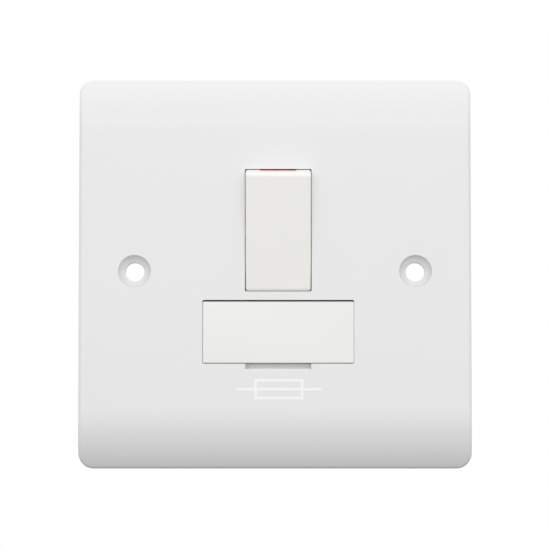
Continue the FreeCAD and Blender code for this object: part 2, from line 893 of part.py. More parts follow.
def make_neutral_fulcrum():
    body = new_body("neutral_fulcrum")
    half = S.strip_width / 2
    right = S.neutral_strip_side + S.neutral_strip_width / 2
    inner = right - S.neutral_strip_width
    track = outline(
        (neutral_x - half_bar, pivot_z - half),
        (inner, pivot_z - half),
        (inner, -S.load_row),
        (right, -S.load_row),
        (right, pivot_z + half),
        (neutral_x - half_bar, pivot_z + half),
    )
    add(body, "strip", "Y", strip_front, strip_back, track)
    add_fulcrum_post(body, neutral_x)
    return body


def make_supply_contact(node, pole_x, terminal_x, side):
    """A strip from a supply terminal to the fixed contact of its pole."""
    body = new_body(node)
    half = S.strip_width / 2
    near_end = pole_x - side * half_bar
    tail_in = terminal_x - side * half
    tail_out = terminal_x + side * half
    track = outline(
        (near_end, tip_level - half),
        (near_end, tip_level + half),
        (tail_in, tip_level + half),
        (tail_in, S.supply_row + half),
        (tail_out, S.supply_row + half),
        (tail_out, tip_level - half),
    )
    add(body, "strip", "Y", strip_front, strip_back, track)
    return body


def make_load_line_strip():
    body = new_body("load_line_strip")
    half = S.strip_width / 2
    clip_x = centre_x + S.clip_place
    step = -S.load_row + half + S.load_strip_step
    track = outline(
        (clip_x - half, fuse_z + half),
        (clip_x - half, step),
        (S.load_line_side - half, step),
        (S.load_line_side - half, -S.load_row - half),
        (S.load_line_side + half, -S.load_row - half),
        (clip_x + half, -S.load_row + half),
        (clip_x + half, fuse_z + half),
    )
    add(body, "strip", "Y", strip_front, strip_back, track)
    return body


# Terminals: brass blocks with a wire bore and a clamp screw from the rear
def make_terminal(node, ways, half_width_of_block):
    body = new_body(node)
    middle = (ways[0][0] + ways[-1][0]) / 2
    level = ways[0][1]
    half_block = S.terminal_height / 2
    block = rectangle(
        middle - half_width_of_block,
        middle + half_width_of_block,
        level - half_block,
        level + half_block,
    )
    add(body, "block", "Y", strip_back, floor_front, block)

    def upright(edge):
        box = edge.BoundBox
        return box.YLength > 1 and box.XLength < 0.01 and box.ZLength < 0.01

    round_edges(body, "edge_round", S.terminal_edge, upright)
    bores = [disc(x, bore_y, S.wire_bore_radius) for x, z in ways]
    cut(body, "wire_bores", "Z", level - half_block, level + half_block, *bores)
    threads = [disc(x, z, S.clamp_radius + S.clamp_clearance) for x, z in ways]
    cut(body, "clamp_holes", "Y", bore_y, floor_front, *threads)
    return body


def make_screw(name, across, up, seat, head, shank, tip, cross):
    """A screw driven from the rear: its head starts at the seat and its point is at the tip."""
    head_radius, head_height = head
    stem = doc.addObject("Part::Cylinder", f"{name}_stem")
    bind(stem, "Radius", shank)
    bind(stem, "Height", seat - tip)
    place(stem, across, seat, up, 90)
    cap = doc.addObject("Part::Cylinder", f"{name}_cap")
    bind(cap, "Radius", head_radius)
    bind(cap, "Height", head_height)
    place(cap, across, seat + head_height, up, 90)
    joined = doc.addObject("Part::Fuse", f"{name}_blank")
    joined.Base = cap
    joined.Tool = stem
    slots = []
    for turned in range(2 if cross else 1):
        slot = doc.addObject("Part::Box", f"{name}_slot_{turned}")
        long_side = S.cross_reach * 2 if cross else (head_radius + S.slot_overrun) * 2
        wide, tall = (long_side, S.driver_slot) if turned == 0 else (S.driver_slot, long_side)
        bind(slot, "Length", wide)
        bind(slot, "Height", tall)
        bind(slot, "Width", S.driver_depth)
        bind(slot, "Placement.Base.x", across - wide / 2)
        bind(slot, "Placement.Base.y", seat + head_height - S.driver_depth)
        bind(slot, "Placement.Base.z", up - tall / 2)
        slots.append(slot)
    recess = slots[0]
    if cross:
        recess = doc.addObject("Part::Fuse", f"{name}_recess")
        recess.Base = slots[0]
        recess.Tool = slots[1]
    screw = doc.addObject("Part::Cut", name)
    screw.Base = joined
    screw.Tool = recess
    return screw


def make_screw_group(node, screws):
    group = doc.addObject("Part::Compound", node)
    group.Label = node
    group.Links = screws
    return group


def make_terminal_screws():
    head = (S.clamp_head_radius, S.clamp_head_height)
    tip = bore_y + S.wire_bore_radius + S.clamp_standoff
    screws = []
    for number, (across, up) in enumerate(WIRE_WAYS):
        name = f"clamp_screw_{number}"
        screws.append(make_screw(name, across, up, floor_front, head, S.clamp_radius, tip, False))
    return make_screw_group("terminal_screws", screws)


def make_housing_screws():
    head = (S.tapping_head_radius, S.tapping_head_height)
    seat = S.boss_reach + S.pillar_seat
    tip = S.boss_reach - S.tapping_grip
    screws = []
    for name, (across, up) in HOUSING_SCREWS.items():
        name = f"{name}_housing_screw"
        shank = S.tapping_radius - S.tapping_clearance
        screws.append(make_screw(name, across, up, seat, head, shank, tip, True))
    return make_screw_group("housing_screws", screws)


# Rear housing: the moulding behind the wall plane that carries the terminals
def make_rear_housing():
    body = new_body("rear_housing")
    half_w = S.housing_width / 2
    half_h = S.housing_height / 2
    rear = S.housing_rear
    plan = rounded_rectangle(-half_w, half_w, -half_h, half_h, S.housing_corner)
    add(body, "shell", "Y", skin_back, rear, plan)
    round_edges(body, "rear_round", S.housing_edge, lambda edge: near(edge.BoundBox.YMin, rear))
    in_w = half_w - S.housing_wall
    in_h = half_h - S.housing_wall
    cut(body, "hollow", "Y", skin_back, floor_front, rectangle(-in_w, in_w, -in_h, in_h))

    # pillars, ribs and shelves stand on the floor
    pillars = [disc(x, z, S.pillar_radius) for x, z in HOUSING_SCREWS.values()]
    for number, pillar in enumerate(pillars):
        add(body, f"pillar_{number}", "Y", S.boss_reach, rear - S.floor_thickness / 2, pillar)
    half_part = S.partition_thickness / 2
    partition = rectangle(
        centre_x - half_part,
        centre_x + half_part,
        pivot_z - S.bar_arm,
        tip_level + S.strip_width / 2,
    )
    sunk = rear - S.floor_thickness / 2
    add(body, "partition", "Y", S.partition_front, sunk, partition)
    half_shelf = S.shelf_thickness / 2
    half_strip = S.strip_width / 2
    clip_left = centre_x - S.clip_place
    clip_right = centre_x + S.clip_place
    neutral_right = S.neutral_strip_side + S.neutral_strip_width / 2
    shelves = {
        "fulcrum_shelf": rectangle(
            clip_left - half_strip, neutral_right, pivot_z - half_shelf, pivot_z + half_shelf
        ),
        "contact_shelf": rectangle(
            -S.supply_line_side,
            S.supply_neutral_side,
            tip_level - half_shelf,
            tip_level + half_shelf,
        ),
        "line_clip_shelf": rectangle(
            clip_left - half_strip, clip_left + half_strip, fuse_z - half_shelf, fuse_z + half_shelf
        ),
        "load_clip_shelf": rectangle(
            clip_right - half_strip,
            clip_right + half_strip,
            fuse_z - half_shelf,
            fuse_z + half_shelf,
        ),
        "neutral_shelf": rectangle(
            S.neutral_strip_side - half_shelf,
            S.neutral_strip_side + half_shelf,
            -S.load_row + S.terminal_height / 2 + S.shelf_gap,
            pivot_z,
        ),
    }
    for name, shelf in shelves.items():
        add(body, name, "Y", strip_back, sunk, shelf)

    # ways in for the wires, the drivers and the screws
    window = S.wire_bore_radius + S.wire_entry_clearance
    for number, (x, z) in enumerate(WIRE_WAYS):
        outward = 1 if z.value > 0 else -1
        low, high = (in_h, half_h) if outward > 0 else (-half_h, -in_h)
        opening = rectangle(x - window, x + window, bore_y - window, bore_y + window)
        cut(body, f"wire_entry_{number}", "Z", low, high, opening)
    access = S.clamp_head_radius + S.access_clearance
    cut(body, "access", "Y", floor_front, rear, *[disc(x, z, access) for x, z in WIRE_WAYS])
    seat = S.boss_reach + S.pillar_seat
    head_room = S.tapping_head_radius + S.tapping_clearance
    shank_room = S.tapping_radius + S.tapping_clearance
    places = HOUSING_SCREWS.values()
    cut(body, "head_room", "Y", seat, rear, *[disc(x, z, head_room) for x, z in places])
    cut(body, "shank_room", "Y", S.boss_reach, seat, *[disc(x, z, shank_room) for x, z in places])
    return body


# Cartridge fuse: a ceramic tube with a metal cap at each end and a wire through it
def make_fuse_tube():
    body = new_body("fuse_tube")
    half = S.fuse_length / 2 - S.cap_wall
    outer = S.cap_radius - S.cap_wall - S.cap_clearance
    section = rectangle(-half, half, S.tube_bore_radius, outer)
    turn(
        body,
        "PartDesign::Revolution",
        "tube",
        "H_Axis",
        section,
        across=centre_x,
        up=fuse_y,
        level=fuse_z,
    )
    return body


def make_fuse_cap(node, side):
    body = new_body(node)
    end = side * S.fuse_length / 2
    inner_end = side * (S.fuse_length / 2 - S.cap_wall)
    mouth = side * (S.fuse_length / 2 - S.cap_length)
    edge_start = side * (S.fuse_length / 2 - S.cap_edge)
    inner_radius = S.cap_radius - S.cap_wall
    section = outline(
        (end, as_size(0)),
        (end, S.cap_radius - S.cap_edge, S.cap_edge * side),
        (edge_start, S.cap_radius),
        (mouth, S.cap_radius),
        (mouth, inner_radius),
        (inner_end, inner_radius),
        (inner_end, as_size(0)),
    )
    turn(
        body,
        "PartDesign::Revolution",
        "cup",
        "H_Axis",
        section,
        across=centre_x,
        up=fuse_y,
        level=fuse_z,
    )
    return body


def make_fuse_element():
    element = doc.addObject("Part::Cylinder", "fuse_element")
    element.Label = "fuse_element"
    half = S.fuse_length / 2 - S.cap_wall
    bind(element, "Radius", S.element_radius)
    bind(element, "Height", half * 2)
    element.Placement = FreeCAD.Placement(vector(0, 0, 0), FreeCAD.Rotation(vector(0, 1, 0), 90))
    bind(element, "Placement.Base.x", centre_x - half)
    bind(element, "Placement.Base.y", fuse_y)
    bind(element, "Placement.Base.z", fuse_z)
    return element


# Fuse carrier: a drawer that slides out of the plate with the fuse in its jaws
def make_fuse_carrier():
    body = new_body("fuse_carrier")
    half = fuse_half_width - S.carrier_side_gap
    top = fuse_z + fuse_half_height - S.carrier_top_gap
    foot = fuse_z - fuse_half_height + S.carrier_foot_gap
    face_back = front + S.carrier_face
    face = rounded_rectangle(centre_x - half, centre_x + half, foot, top, S.carrier_corner)
    add(body, "face", "Y", front, face_back, face)
    round_edges(
        body, "face_round", S.carrier_edge, lambda edge: near(edge.BoundBox.YMax, front, 0.001)
    )

    half_runner = S.runner_height / 2
    catch_back = catch_front + S.catch_thickness
    root_y = front + S.carrier_face / 2
    for side, name in ((-1, "left"), (1, "right")):
        out = centre_x + side * runner_out
        inward = centre_x + side * (runner_out - S.runner_thickness)
        low, high = (out, inward) if side < 0 else (inward, out)
        runner = rectangle(low, high, fuse_z - half_runner, fuse_z + half_runner)
        add(body, f"{name}_runner", "Y", root_y, catch_back, runner)
        catch_out = centre_x + side * (runner_out + S.runner_catch)
        low, high = (catch_out, inward) if side < 0 else (inward, catch_out)
        catch = rectangle(low, high, fuse_z - half_runner, fuse_z + half_runner)
        add(body, f"{name}_catch", "Y", catch_front, catch_back, catch)
        pad_end = centre_x + side * (S.fuse_length / 2 + S.end_pad_gap)
        low, high = (out, pad_end) if side < 0 else (pad_end, out)
        quarter = S.runner_height / 4
        pad = rectangle(low, high, fuse_z - quarter, fuse_z + quarter)
        add(body, f"{name}_end_pad", "Y", root_y, fuse_y + S.jaw_reach, pad)

    # two jaws grip the tube from above and below, with lips behind its widest part
    tube_out = S.cap_radius - S.cap_wall - S.cap_clearance
    jaw_in = tube_out + S.jaw_clearance
    jaw_out = jaw_in + S.jaw_wall
    jaws = []
    for side in (-1, 1):
        low, high = (-jaw_out, -jaw_in) if side < 0 else (jaw_in, jaw_out)
        jaws.append(rectangle(root_y, fuse_y + S.jaw_reach, fuse_z + low, fuse_z + high))
    jaw_left = centre_x - S.jaw_half_width
    jaw_right = centre_x + S.jaw_half_width
    add(body, "jaws", "X", jaw_left, jaw_right, *jaws)
    lip_y = root(jaw_in * jaw_in - (jaw_in - S.jaw_lip) * (jaw_in - S.jaw_lip))
    lips = []
    for side in (-1, 1):
        lips.append(
            outline(
                (fuse_y + lip_y, fuse_z + side * (jaw_in + S.jaw_wall / 2)),
                (fuse_y + lip_y, fuse_z + side * (jaw_in - S.jaw_lip)),
                (fuse_y + S.jaw_reach + S.jaw_lip, fuse_z + side * jaw_in),
                (fuse_y + S.jaw_reach + S.jaw_lip, fuse_z + side * (jaw_in + S.jaw_wall / 2)),
            )
        )
    add(body, "jaw_lips", "X", jaw_left, jaw_right, *lips)
    return body


# Fuse clips: folded spring strips that hold the caps, each riveted to its brass strip
def make_fuse_clip(node, across):
    body = new_body(node)
    inner = S.cap_radius + S.clip_clearance
    outer = inner + S.clip_wall
    arm = -S.clip_arm
    flare = S.clip_flare
    slant = S.clip_wall / root(as_size(2))
    mouth_y = fuse_y + arm
    lip_y = mouth_y - flare
    section = outline(
        (lip_y, fuse_z + inner + flare),
        (mouth_y, fuse_z + inner),
        (fuse_y, fuse_z + inner, -inner),
        (fuse_y + inner, fuse_z, -inner),
        (fuse_y, fuse_z - inner),
        (mouth_y, fuse_z - inner),
        (lip_y, fuse_z - inner - flare),
        (lip_y + slant, fuse_z - inner - flare - slant),
        (mouth_y + slant / 2, fuse_z - outer),
        (fuse_y, fuse_z - outer, outer),
        (fuse_y + outer, fuse_z, outer),
        (fuse_y, fuse_z + outer),
        (mouth_y + slant / 2, fuse_z + outer),
        (lip_y + slant, fuse_z + inner + flare + slant),
    )
    left = across - S.clip_width / 2
    right = across + S.clip_width / 2
    add(body, "spring", "X", left, right, section)
    half_leg = S.clip_leg / 2
    foot = outline(
        (fuse_y + outer - S.clip_wall / 2, fuse_z - half_leg),
        (strip_front - S.clip_leg, fuse_z - half_leg),
        (strip_front - S.clip_leg, fuse_z - S.clip_foot),
        (strip_front, fuse_z - S.clip_foot),
        (strip_front, fuse_z + half_leg),
        (fuse_y + outer - S.clip_wall / 2, fuse_z + half_leg),
    )
    add(body, "leg", "X", left, right, foot)
    return body


def make_clip_rivets():
    rivets = []
    level = fuse_z - (S.clip_foot + S.clip_leg / 2) / 2
    for name, side in (("line", -1), ("load", 1)):
        rivet = doc.addObject("Part::Cylinder", f"{name}_rivet")
        bind(rivet, "Radius", S.rivet_radius)
        bind(rivet, "Height", S.rivet_height)
        place(rivet, centre_x + side * S.clip_place, strip_front - S.clip_leg, level, 90)
        rivets.append(rivet)
    group = doc.addObject("Part::Compound", "clip_rivets")
    group.Label = "clip_rivets"
    group.Links = rivets
    return group


# The whole unit
half_terminal = S.terminal_width / 2
half_earth = (S.terminal_width + S.earth_spacing) / 2
NODES = [
    make_front_plate(),
    make_switch_rocker(),
    make_plunger("line_plunger", -half_pole),
    make_plunger("neutral_plunger", half_pole),
    make_plunger_spring("line_plunger_spring", -half_pole),
    make_plunger_spring("neutral_plunger_spring", half_pole),
    make_contact_bar("line_contact_bar", line_x),
    make_contact_bar("neutral_contact_bar", neutral_x),
    make_moving_tip("line_moving_tip", line_x),
    make_moving_tip("neutral_moving_tip", neutral_x),
    make_fixed_tips(),
    make_line_fulcrum(),
    make_neutral_fulcrum(),
    make_supply_contact("supply_line_contact", line_x, -S.supply_line_side, -1),
    make_supply_contact("supply_neutral_contact", neutral_x, S.supply_neutral_side, 1),
    make_load_line_strip(),
    *[make_terminal(node, [way], half_terminal) for node, way in TERMINALS.items()],
    make_terminal("earth_terminal", EARTH_WAYS, half_earth),
    make_terminal_screws(),
    make_rear_housing(),
    make_housing_screws(),
    make_fuse_tube(),
    make_fuse_cap("fuse_cap_left", -1),
    make_fuse_cap("fuse_cap_right", 1),
    make_fuse_element(),
    make_fuse_carrier(),
    make_fuse_clip("line_fuse_clip", centre_x - S.clip_place),
    make_fuse_clip("load_fuse_clip", centre_x + S.clip_place),
    make_clip_rivets(),
]
doc.recompute()

# Every object and every shape is checked before any file is written
for thing in doc.Objects:
    if "Invalid" in thing.State or "Error" in thing.State:
        raise RuntimeError(f"{thing.Name} could not be computed: {thing.State}")
for node in NODES:
    if node.Shape.isNull() or not node.Shape.isValid() or not node.Shape.Solids:
        raise RuntimeError(f"{node.Label} has no valid solid")

os.makedirs("parts", exist_ok=True)
for node in NODES:
    node.Shape.exportStep(f"parts/{node.Label}.step")
    print(f"{node.Label}: {len(node.Shape.Solids)} solids, {node.Shape.Volume:.1f} mm3")
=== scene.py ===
# %% [markdown]
# A fused spur unit: a square white wall plate with a rocker switch and, under it, a drawer
# that holds a cartridge fuse. Behind the plate a moulded housing carries the brass terminals.
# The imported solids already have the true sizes, so this file gives them their surfaces, models
# the mouldings that show from the front more finely, and lights them like a product photo.

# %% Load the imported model
import math

import bpy
import mathutils
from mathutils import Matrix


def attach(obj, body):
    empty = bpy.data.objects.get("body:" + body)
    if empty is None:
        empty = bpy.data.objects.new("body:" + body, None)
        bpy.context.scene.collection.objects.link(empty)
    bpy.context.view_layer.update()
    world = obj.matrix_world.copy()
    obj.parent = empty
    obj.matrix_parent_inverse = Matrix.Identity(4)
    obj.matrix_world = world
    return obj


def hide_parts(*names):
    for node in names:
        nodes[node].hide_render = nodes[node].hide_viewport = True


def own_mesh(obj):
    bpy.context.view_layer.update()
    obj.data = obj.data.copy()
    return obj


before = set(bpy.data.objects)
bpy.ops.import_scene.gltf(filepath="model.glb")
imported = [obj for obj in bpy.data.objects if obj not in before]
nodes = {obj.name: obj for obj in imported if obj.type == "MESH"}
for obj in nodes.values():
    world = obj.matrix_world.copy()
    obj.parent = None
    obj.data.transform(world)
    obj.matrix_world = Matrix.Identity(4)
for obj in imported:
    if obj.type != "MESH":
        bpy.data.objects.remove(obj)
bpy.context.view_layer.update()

# The scene is in metres, and so are the places of camera, lamp and floor. A length of the part
# is in millimetres until it is multiplied by MM.
MM = 0.001

# %% [markdown]
# The photograph was taken from almost straight ahead, a little below the middle: the holes'
# back edges are shifted towards a point under the plate, and the lower rim just shows. A long
# lens 70 cm away gives the same small convergence. Other distances come close to it; of the two
# that were rendered, this one placed the upper outline better.

# %% Camera
CAMERA_DISTANCE = 0.700
CAMERA_DROP = 0.0529
CAMERA_PITCH = math.radians(4.31)
CAMERA_LENS = 211.6
SENSOR_WIDTH = 36.0
NEAREST_SEEN = 0.05
FARTHEST_SEEN = 20.0

camera_data = bpy.data.cameras.new("product_camera")
camera_data.sensor_fit = "HORIZONTAL"
camera_data.sensor_width = SENSOR_WIDTH
camera_data.lens = CAMERA_LENS
camera_data.clip_start = NEAREST_SEEN
camera_data.clip_end = FARTHEST_SEEN
camera = bpy.data.objects.new("product_camera", camera_data)
camera.location = (0.0, -CAMERA_DISTANCE, -CAMERA_DROP)
camera.rotation_euler = (math.radians(90) + CAMERA_PITCH, 0.0, 0.0)
bpy.context.scene.collection.objects.link(camera)
bpy.context.scene.camera = camera
print("camera", tuple(camera.location), "lens", CAMERA_LENS)

# %% [markdown]
# Colours are written as they look on a screen, in sRGB, and the renderer wants linear light.
# One small function turns them, by the standard sRGB curve. Another adds a shader node with its
# settings and its links, so each finish below reads as a short list of what feeds what.


# %% Colour and node helpers
def linear(hex_colour):
    """An sRGB hex colour as linear red, green, blue and alpha."""
    channels = [int(hex_colour[at : at + 2], 16) / 255 for at in (1, 3, 5)]
    light = [c / 12.92 if c <= 0.04045 else ((c + 0.055) / 1.055) ** 2.4 for c in channels]
    return (*light, 1.0)


def add_node(tree, kind, links=None, **settings):
    """Adds a node; links maps an input to a value or to another node's output socket."""
    made = tree.nodes.new(kind)
    for name, value in settings.items():
        setattr(made, name, value)
    for name, value in (links or {}).items():
        if isinstance(value, bpy.types.NodeSocket):
            tree.links.new(value, made.inputs[name])
        else:
            made.inputs[name].default_value = value
    return made


# %% [markdown]
# The light is what makes a white thing on white readable. A pale, even surround fills
# everything, one wide soft lamp hangs in front and above, and the flat face gets most of it,
# the upper roll a little more and the lower roll, which turns to the floor, clearly less.
# The surround is pure white where the camera looks straight at it, and a little dimmer as a
# light. Its level and the lamp's were chosen by rendering and comparing.

# %% Pale surround
SURROUND = 0.97


def shown_white(tree, dim):
    """White where the camera, a mirror or a glass looks straight at it, dimmer as a light."""
    path = add_node(tree, "ShaderNodeLightPath")
    seen = add_node(
        tree,
        "ShaderNodeMath",
        {0: path.outputs["Is Camera Ray"], 1: path.outputs["Is Glossy Ray"]},
        operation="MAXIMUM",
    )
    seen = add_node(
        tree,
        "ShaderNodeMath",
        {0: seen.outputs[0], 1: path.outputs["Is Transmission Ray"]},
        operation="MAXIMUM",
    )
    return add_node(
        tree,
        "ShaderNodeMix",
        {"Factor": seen.outputs[0], "A": dim, "B": 1.0},
        data_type="FLOAT",
    )


world = bpy.data.worlds.new("pale_surround")
world.use_nodes = True
world.node_tree.nodes.clear()
level = shown_white(world.node_tree, SURROUND)
background = add_node(
    world.node_tree, "ShaderNodeBackground", {"Color": linear("#FFFFFF"), "Strength": level.outputs[0]}
)
add_node(world.node_tree, "ShaderNodeOutputWorld", {"Surface": background.outputs[0]})
bpy.context.scene.world = world
bpy.context.scene.view_settings.view_transform = "Standard"

# %% Soft lamp
LAMP_WATTS = 1.35
LAMP_PLACE = (0.0, -0.60, 0.16)
LAMP_SIZE = (0.90, 0.35)

lamp_data = bpy.data.lights.new("softbox", "AREA")
lamp_data.shape = "RECTANGLE"
lamp_data.size, lamp_data.size_y = LAMP_SIZE
lamp_data.energy = LAMP_WATTS
lamp = bpy.data.objects.new("softbox", lamp_data)
lamp.location = LAMP_PLACE
lamp.rotation_euler = (-mathutils.Vector(LAMP_PLACE)).to_track_quat("-Z", "Y").to_euler()
bpy.context.scene.collection.objects.link(lamp)
print("lamp", LAMP_WATTS, "W,", LAMP_SIZE, "m")

# %% [markdown]
# A wall accessory isn't stood on a table in the photograph, so the floor lies well below it and
# only sends light back up. From underneath it lets the camera through, so the unit's lower side
# can be looked at too.

# %% Floor
FLOOR_LEVEL = -0.25
FLOOR_SIZE = 8.0

floor_material = bpy.data.materials.new("pale_floor")
floor_material.use_nodes = True
floor_tree = floor_material.node_tree
floor_tree.nodes.clear()
matt = add_node(floor_tree, "ShaderNodeBsdfDiffuse", {"Color": linear("#A7A7A7")})
clear = add_node(floor_tree, "ShaderNodeBsdfTransparent")
facing = add_node(floor_tree, "ShaderNodeNewGeometry")
either = add_node(
    floor_tree,
    "ShaderNodeMixShader",
    {0: facing.outputs["Backfacing"], 1: matt.outputs[0], 2: clear.outputs[0]},
)
add_node(floor_tree, "ShaderNodeOutputMaterial", {"Surface": either.outputs[0]})

bpy.ops.object.select_all(action="DESELECT")
bpy.ops.mesh.primitive_plane_add(size=FLOOR_SIZE, location=(0, 0, FLOOR_LEVEL))
floor = bpy.context.object
floor.name = "pale_floor"
floor.data.materials.append(floor_material)
print("floor", FLOOR_SIZE, "m square at", FLOOR_LEVEL)

# %% [markdown]
# A moulded plastic looks real when three small things are there: its colour drifts a little
# over centimetres, its skin has a long low wave from the polished mould, and a fine grain
# breaks up the shine. All three are noise patterns in the object's own space, so they stay with
# the form. Each has its size in millimetres, and the wave and the grain a height too. The grain
# is drawn coarser than real grain: a pixel or so of the photograph on the plate and the key,
# and less on the small parts inside.

# %% Finish: moulded plastics
DRIFT_MM = 22.0
PLASTIC_IOR = 1.5
PLASTIC_SPREAD = 0.15


def moulded_plastic(name, hex_colour, tint_hex, roughness, wave, grain):
    """A moulded plastic; wave and grain are each a size and a height in millimetres."""
    material = bpy.data.materials.new(name)
    material.use_nodes = True
    tree = material.node_tree
    tree.nodes.clear()
    place = add_node(tree, "ShaderNodeTexCoord").outputs["Object"]
    drift = add_node(
        tree,
        "ShaderNodeTexNoise",
        {"Vector": place, "Scale": 1 / (DRIFT_MM * MM), "Detail": 2.0, "Roughness": 0.4},
    )
    colour = add_node(
        tree,
        "ShaderNodeMix",
        {"Factor": drift.outputs[0], 6: linear(hex_colour), 7: linear(tint_hex)},
        data_type="RGBA",
    )
    long_wave = add_node(
        tree, "ShaderNodeTexNoise", {"Vector": place, "Scale": 1 / (wave[0] * MM), "Detail": 1.0}
    )
    fine_grain = add_node(
        tree, "ShaderNodeTexNoise", {"Vector": place, "Scale": 1 / (grain[0] * MM), "Detail": 2.0}
    )
    shine = add_node(
        tree,
        "ShaderNodeMapRange",
        {
            "Value": fine_grain.outputs[0],
            "To Min": roughness * (1 - PLASTIC_SPREAD),
            "To Max": roughness * (1 + PLASTIC_SPREAD),
        },
    )
    low = add_node(
        tree,
        "ShaderNodeBump",
        {"Height": long_wave.outputs[0], "Distance": wave[1] * MM, "Strength": 1.0},
    )
    fine = add_node(
        tree,
        "ShaderNodeBump",
        {
            "Height": fine_grain.outputs[0],
            "Distance": grain[1] * MM,
            "Strength": 1.0,
            "Normal": low.outputs[0],
        },
    )
    skin = add_node(
        tree,
        "ShaderNodeBsdfPrincipled",
        {
            "Base Color": colour.outputs[2],
            "Roughness": shine.outputs[0],
            "IOR": PLASTIC_IOR,
            "Normal": fine.outputs[0],
        },
    )
    add_node(tree, "ShaderNodeOutputMaterial", {"Surface": skin.outputs[0]})
    print("finish", name)
    return material


# Urea, compression moulded: a hard, dense thermoset, so it looks clean white with a soft gloss.
urea = moulded_plastic(
    "moulded_urea", "#E8E7E7", "#E6E5E5", roughness=0.30, wave=(2.6, 0.0035), grain=(0.35, 0.0004)
)
# Polycarbonate, injection moulded: a touch warmer than urea and softer in its shine.
polycarbonate = moulded_plastic(
    "white_polycarbonate", "#EDEDEA", "#EBEBE8", roughness=0.34, wave=(1.8, 0.002), grain=(0.22, 0.0006)
)
# The key's face leans down, away from the lamp, yet the photograph shows it nearly as bright as
# the drawer, so the same plastic is set a shade brighter for it.
# Painted light: this lighter copy of the drawer's plastic stands in for the light that the key's leaning
# face doesn't get.
key_plastic_painted_lighter = moulded_plastic(
    "polycarbonate_painted_lighter", "#F4F3F0", "#F2F1ED", roughness=0.34, wave=(1.8, 0.002), grain=(0.22, 0.0006)
)
# Urea in its natural ivory, from a plain steel mould: a satin skin that hides behind the plate.
housing_plastic = moulded_plastic(
    "ivory_urea", "#DDD3C0", "#D8CDB8", roughness=0.5, wave=(2.2, 0.003), grain=(0.18, 0.0016)
)
# Nylon, injection moulded and left uncoloured: waxy and slightly yellow.
nylon = moulded_plastic(
    "natural_nylon", "#DCD6C4", "#D6CFBB", roughness=0.42, wave=(0.9, 0.001), grain=(0.12, 0.0006)
)
# Steatite, pressed and fired without a glaze: dry and chalky, with no shine at all.
fuse_ceramic = moulded_plastic(
    "unglazed_steatite", "#E6E0D2", "#DDD5C4", roughness=0.72, wave=(0.8, 0.002), grain=(0.09, 0.0022)
)
# White pad-printing ink: a thin matt layer that reads whiter than the plate under it.
white_ink = moulded_plastic(
    "white_printing_ink", "#F6F6F6", "#F4F4F4", roughness=0.5, wave=(0.7, 0.0006), grain=(0.1, 0.0006)
)
# Red marking paint, wiped into a recess: one flat, even colour with a dull sheen.
red_paint = moulded_plastic(
    "red_marking_paint", "#C4402F", "#B93A2B", roughness=0.45, wave=(0.7, 0.0006), grain=(0.1, 0.0006)
)

# %% [markdown]
# Under the plastic the metals differ by how they were made: strip brass is rolled and then
# stamped, so it has fine straight lines; terminal blocks are sawn from bar; springs and screws
# are bright. Noise that is stretched along one direction gives the lines, and clouds a few
# millimetres across give the handling marks. Real lines are finer than the 0.1 to 0.3 mm that
# they are drawn at, which is about a pixel of the photograph. A metal's colour is its reflection.

# %% Finish: metals
CLOUD_MM = 5.0
METAL_SPREAD = 0.3


def worked_metal(name, hex_colour, dull_hex, roughness, line, stretch):
    """A metal with fine lines; line is their spacing and height in millimetres."""
    material = bpy.data.materials.new(name)
    material.use_nodes = True
    tree = material.node_tree
    tree.nodes.clear()
    place = add_node(tree, "ShaderNodeTexCoord").outputs["Object"]
    along = add_node(tree, "ShaderNodeMapping", {"Vector": place, "Scale": stretch})
    lines = add_node(
        tree,
        "ShaderNodeTexNoise",
        {"Vector": along.outputs[0], "Scale": 1 / (line[0] * MM), "Detail": 3.0, "Roughness": 0.6},
    )
    cloud = add_node(
        tree, "ShaderNodeTexNoise", {"Vector": place, "Scale": 1 / (CLOUD_MM * MM), "Detail": 3.0}
    )
    colour = add_node(
        tree,
        "ShaderNodeMix",
        {"Factor": cloud.outputs[0], 6: linear(hex_colour), 7: linear(dull_hex)},
        data_type="RGBA",
    )
    shine = add_node(
        tree,
        "ShaderNodeMapRange",
        {
            "Value": lines.outputs[0],
            "To Min": roughness * (1 - METAL_SPREAD),
            "To Max": roughness * (1 + METAL_SPREAD),
        },
    )
    ridges = add_node(
        tree,
        "ShaderNodeBump",
        {"Height": lines.outputs[0], "Distance": line[1] * MM, "Strength": 1.0},
    )
    skin = add_node(
        tree,
        "ShaderNodeBsdfPrincipled",
        {
            "Base Color": colour.outputs[2],
            "Metallic": 1.0,
            "Roughness": shine.outputs[0],
            "Normal": ridges.outputs[0],
        },
    )
    add_node(tree, "ShaderNodeOutputMaterial", {"Surface": skin.outputs[0]})
    print("finish", name)
    return material


EVEN = (1.0, 1.0, 1.0)
LONG_X = (0.1, 1.0, 1.0)
LONG_Z = (1.0, 1.0, 0.1)
# Brass strip, cold rolled and then stamped: faint lines run along the rolling direction.
strip_brass = worked_metal("rolled_brass_strip", "#D8B56A", "#C9A357", 0.28, (0.25, 0.0008), LONG_Z)
# Brass bar, drawn and then sawn: a shade duller, with coarser lines across the block.
bar_brass = worked_metal("sawn_brass_bar", "#D2AE62", "#C19A4E", 0.34, (0.22, 0.0012), LONG_X)
# Copper strip, stamped: the contact bars are the only pink metal in the unit.
copper = worked_metal("stamped_copper", "#D79A72", "#C4855E", 0.3, (0.25, 0.0008), LONG_Z)
# Silver alloy, headed from wire: the palest and softest shine, without any direction.
silver = worked_metal("silver_contact", "#E4E3DE", "#D3D1CA", 0.3, (0.2, 0.0006), EVEN)
# Phosphor bronze spring strip: browner than brass and a little glossier.
bronze = worked_metal("phosphor_bronze", "#CB9C63", "#B98A53", 0.26, (0.25, 0.0006), LONG_X)
# Nickel plate over brass, barrel plated: bright, and faintly yellow from the brass below.
nickel = worked_metal("nickel_plating", "#D2CDC2", "#C6C0B4", 0.2, (0.3, 0.0005), EVEN)
